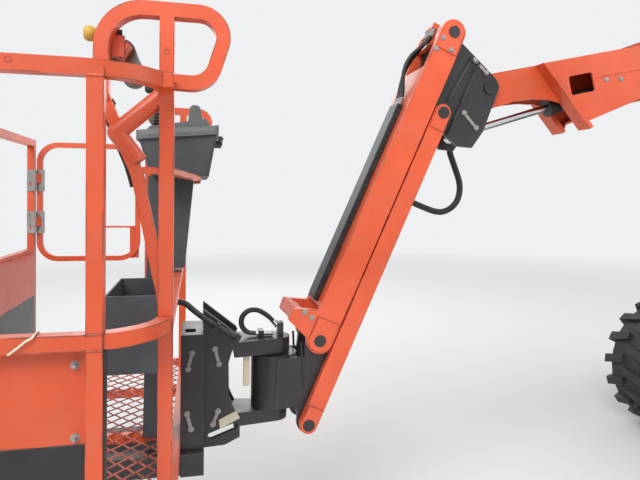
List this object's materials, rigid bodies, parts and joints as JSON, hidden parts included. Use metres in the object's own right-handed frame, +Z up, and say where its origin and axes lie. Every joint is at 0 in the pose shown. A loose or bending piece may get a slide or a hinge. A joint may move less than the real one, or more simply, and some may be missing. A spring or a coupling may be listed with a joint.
{
  "type": "articulating boom lift",
  "caption": "Self-propelled articulating boom lift: wheeled chassis, slewing turntable, folding tower, telescoping boom, jib and railed work platform.",
  "frame": {"origin": "on the ground under the middle of the machine as it stands in the picture", "axes": "+X forward from the chassis to the platform, +Y to the left of the machine, +Z up"},
  "size_m": [6.3348, 2.31, 2.8716],
  "materials": {
    "tyre": "worn black rubber",
    "orange": "worn orange paint",
    "black": "satin black paint",
    "grey": "moulded grey plastic",
    "cream": "cream paint",
    "steel": "bright chromed rod",
    "cast": "painted cast iron",
    "engine": "plain block",
    "foam": "dirty foam sleeve",
    "mesh": "worn red mesh",
    "red": "red cover",
    "rubber": "black ribbed rubber",
    "hose": "black rubber hose"
  },
  "bodies": {
    "chassis": {"chassis_frame": "black", "slew_ring": "black", "drive_axle": "black", "steer_axle": "black"},
    "steering_rod": {"steering_rod": "black"},
    "knuckle_left": {"knuckle_left": "black"},
    "knuckle_right": {"knuckle_right": "black"},
    "wheel_front_left": {"tyre_front_left": "tyre", "rim_front_left": "cream"},
    "wheel_front_right": {"tyre_front_right": "tyre", "rim_front_right": "cream"},
    "wheel_rear_left": {"tyre_rear_left": "tyre", "rim_rear_left": "cream"},
    "wheel_rear_right": {"tyre_rear_right": "tyre", "rim_rear_right": "cream"},
    "turntable": {"turntable_frame": "black", "counterweight": "cast", "engine": "engine", "fluid_tank": "black", "ground_controls": "grey"},
    "hood_left": {"hood_left": "orange"},
    "hood_right": {"hood_right": "orange"},
    "lower_riser": {"lower_riser": "orange"},
    "lower_links": {"lower_links": "black"},
    "mid_upright": {"mid_upright": "black"},
    "upper_riser": {"upper_riser": "orange"},
    "upper_links": {"upper_links": "black"},
    "top_upright": {"top_upright": "black"},
    "tower_cylinder": {"tower_cylinder": "black"},
    "tower_rod": {"tower_rod": "steel"},
    "main_boom": {"main_boom": "orange"},
    "lift_cylinder": {"lift_cylinder": "black"},
    "lift_rod": {"lift_rod": "steel"},
    "fly_boom": {"fly_boom": "orange"},
    "level_cylinder": {"level_cylinder": "black"},
    "level_rod": {"level_rod": "steel"},
    "nose_bracket": {"nose_bracket": "black", "nose_hose": "hose"},
    "jib_arm": {"jib_arm": "orange", "jib_hose_tray": "grey", "jib_rub_strip": "rubber", "jib_top_hose_1": "hose", "jib_top_hose_2": "hose", "jib_top_hose_3": "hose"},
    "jib_link": {"jib_link": "orange"},
    "jib_cylinder": {"jib_cylinder": "black"},
    "jib_rod": {"jib_rod": "steel"},
    "jib_foot": {"jib_foot": "black"},
    "platform": {"platform_support": "black", "platform_rails": "orange", "platform_base": "orange", "platform_mesh": "mesh", "side_panels": "orange", "toe_boards": "black", "padded_bar": "foam", "console_box": "grey", "tool_tray": "grey", "foot_switch": "red"},
    "console_lid": {"console_lid": "grey"},
    "gate": {"gate": "orange"}
  },
  "joints": [
    {"name": "slew", "type": "hinge", "parent": "chassis", "child": "turntable", "pos_m": [-1.74674, 0, 0.7], "axis": [0, 0, 1], "range_deg": [-177.5, 177.5]},
    {"name": "steer_left", "type": "hinge", "parent": "chassis", "child": "knuckle_left", "pos_m": [-2.74674, 0.79, 0.42], "axis": [0, 0, 1], "range_deg": [-35, 35]},
    {"name": "steer_right", "type": "hinge", "parent": "chassis", "child": "knuckle_right", "pos_m": [-2.74674, -0.79, 0.42], "axis": [0, 0, 1], "range_deg": [-35.01, 35.01]},
    {"name": "steering_slide", "type": "slide", "parent": "chassis", "child": "steering_rod", "axis": [0, 1, 0], "range_m": [-0.12, 0.12]},
    {"name": "roll_front_left", "type": "hinge", "parent": "chassis", "child": "wheel_front_left", "pos_m": [-0.74674, 1, 0.42], "axis": [0, 1, 0], "continuous": true},
    {"name": "roll_front_right", "type": "hinge", "parent": "chassis", "child": "wheel_front_right", "pos_m": [-0.74674, -1, 0.42], "axis": [0, 1, 0], "continuous": true},
    {"name": "roll_rear_left", "type": "hinge", "parent": "knuckle_left", "child": "wheel_rear_left", "pos_m": [-2.74674, 1, 0.42], "axis": [0, 1, 0], "continuous": true},
    {"name": "roll_rear_right", "type": "hinge", "parent": "knuckle_right", "child": "wheel_rear_right", "pos_m": [-2.74674, -1, 0.42], "axis": [0, 1, 0], "continuous": true},
    {"name": "hood_left_open", "type": "hinge", "parent": "turntable", "child": "hood_left", "pos_m": [-1.74674, 0.234, 1.46], "axis": [1, 0, 0], "range_deg": [0, 70]},
    {"name": "hood_right_open", "type": "hinge", "parent": "turntable", "child": "hood_right", "pos_m": [-1.74674, -0.234, 1.46], "axis": [-1, 0, 0], "range_deg": [0, 70]},
    {"name": "tower_lift", "type": "hinge", "parent": "turntable", "child": "lower_riser", "pos_m": [-2.69674, 0, 0.9], "axis": [0, -1, 0], "range_deg": [-6.08, 57.92]},
    {"name": "lower_links_turn", "type": "hinge", "parent": "turntable", "child": "lower_links", "pos_m": [-2.78574, 0, 1.033], "axis": [0, -1, 0], "range_deg": [-6.09, 57.93]},
    {"name": "mid_upright_turn", "type": "hinge", "parent": "lower_riser", "child": "mid_upright", "pos_m": [-0.62916, 0, 1.26755], "axis": [0, -1, 0], "range_deg": [-57.93, 6.09]},
    {"name": "upper_riser_turn", "type": "hinge", "parent": "mid_upright", "child": "upper_riser", "pos_m": [-0.62916, 0, 1.65755], "axis": [0, -1, 0], "range_deg": [-57.93, 6.09]},
    {"name": "upper_links_turn", "type": "hinge", "parent": "mid_upright", "child": "upper_links", "pos_m": [-0.71816, 0, 1.52455], "axis": [0, -1, 0], "range_deg": [-57.93, 6.09]},
    {"name": "top_upright_turn", "type": "hinge", "parent": "upper_riser", "child": "top_upright", "pos_m": [-2.69674, 0, 2.0251], "axis": [0, -1, 0], "range_deg": [-6.09, 57.93]},
    {"name": "tower_cylinder_turn", "type": "hinge", "parent": "lower_riser", "child": "tower_cylinder", "pos_m": [-2.32742, 0, 1.10785], "axis": [0, -1, 0], "range_deg": [-0.35, 3.26]},
    {"name": "tower_rod_slide", "type": "slide", "parent": "tower_cylinder", "child": "tower_rod", "axis": [0.9604, 0, 0.2785], "range_m": [-0.05635, 0.53258]},
    {"name": "boom_lift", "type": "hinge", "parent": "top_upright", "child": "main_boom", "pos_m": [-2.69674, 0, 2.7851], "axis": [0, -1, 0], "range_deg": [0, 87.8]},
    {"name": "lift_cylinder_turn", "type": "hinge", "parent": "top_upright", "child": "lift_cylinder", "pos_m": [-2.57674, 0, 2.1851], "axis": [0, -1, 0], "range_deg": [-0.01, 68.88]},
    {"name": "lift_rod_slide", "type": "slide", "parent": "lift_cylinder", "child": "lift_rod", "axis": [0.9865, 0, 0.164], "range_m": [-0.0005, 0.7255]},
    {"name": "telescope", "type": "slide", "parent": "main_boom", "child": "fly_boom", "axis": [0.9751, 0, -0.2215], "range_m": [0, 2.3]},
    {"name": "level_cylinder_turn", "type": "hinge", "parent": "fly_boom", "child": "level_cylinder", "pos_m": [0.41735, 0, 2.04939], "axis": [0, -1, 0], "range_deg": [-2.16, 0.01]},
    {"name": "level_rod_slide", "type": "slide", "parent": "level_cylinder", "child": "level_rod", "axis": [0.9536, 0, -0.301], "range_m": [-0.29638, 0.0005]},
    {"name": "platform_level", "type": "hinge", "parent": "fly_boom", "child": "nose_bracket", "pos_m": [1.25912, 0, 1.93137], "axis": [0, -1, 0], "range_deg": [-87.81, 0.01]},
    {"name": "jib_lift", "type": "hinge", "parent": "nose_bracket", "child": "jib_arm", "pos_m": [1.42812, 0, 2.12437], "axis": [0, -1, 0], "range_deg": [0, 144]},
    {"name": "jib_link_turn", "type": "hinge", "parent": "nose_bracket", "child": "jib_link", "pos_m": [1.46612, 0, 1.82237], "axis": [0, -1, 0], "range_deg": [-0.01, 144.01]},
    {"name": "jib_cylinder_turn", "type": "hinge", "parent": "nose_bracket", "child": "jib_cylinder", "pos_m": [1.46612, 0, 1.82237], "axis": [0, -1, 0], "range_deg": [-0.01, 142.61]},
    {"name": "jib_rod_slide", "type": "slide", "parent": "jib_cylinder", "child": "jib_rod", "axis": [0.4871, 0, -0.8734], "range_m": [-0.0005, 0.58628]},
    {"name": "jib_foot_turn", "type": "hinge", "parent": "jib_arm", "child": "jib_foot", "pos_m": [1.92774, 0, 0.9862], "axis": [0, -1, 0], "range_deg": [-144.01, 0.01]},
    {"name": "platform_rotate", "type": "hinge", "parent": "jib_foot", "child": "platform", "pos_m": [2.07774, 0, 0.7842], "axis": [0, 0, 1], "range_deg": [-90, 90]},
    {"name": "gate_swing", "type": "hinge", "parent": "platform", "child": "gate", "pos_m": [3.13074, -0.871, 1.5632], "axis": [0, 0, -1], "range_deg": [0, 90]},
    {"name": "console_lid_open", "type": "hinge", "parent": "platform", "child": "console_lid", "pos_m": [2.28274, 0, 1.6993], "axis": [0, -1, 0], "range_deg": [0, 100]}
  ],
  "couplings": [
    {"joint": "steer_right", "follows": "steer_left", "ratio": 1},
    {"joint": "steering_slide", "follows": "steer_left", "m_per_rad": 0.1784},
    {"joint": "lower_links_turn", "follows": "tower_lift", "ratio": 1},
    {"joint": "mid_upright_turn", "follows": "tower_lift", "ratio": -1},
    {"joint": "upper_riser_turn", "follows": "tower_lift", "ratio": -1},
    {"joint": "upper_links_turn", "follows": "tower_lift", "ratio": -1},
    {"joint": "top_upright_turn", "follows": "tower_lift", "ratio": 1},
    {"joint": "tower_cylinder_turn", "follows": "tower_lift", "ratio": 0.05609},
    {"joint": "tower_rod_slide", "follows": "tower_lift", "m_per_rad": 0.52635},
    {"joint": "lift_cylinder_turn", "follows": "boom_lift", "ratio": 0.78441},
    {"joint": "lift_rod_slide", "follows": "boom_lift", "m_per_rad": 0.47312},
    {"joint": "level_cylinder_turn", "follows": "boom_lift", "ratio": -0.024438},
    {"joint": "level_rod_slide", "follows": "boom_lift", "m_per_rad": -0.19308},
    {"joint": "platform_level", "follows": "boom_lift", "ratio": -1},
    {"joint": "jib_link_turn", "follows": "jib_lift", "ratio": 1},
    {"joint": "jib_cylinder_turn", "follows": "jib_lift", "ratio": 0.9903},
    {"joint": "jib_rod_slide", "follows": "jib_lift", "m_per_rad": 0.23307},
    {"joint": "jib_foot_turn", "follows": "jib_lift", "ratio": -1}
  ]
}
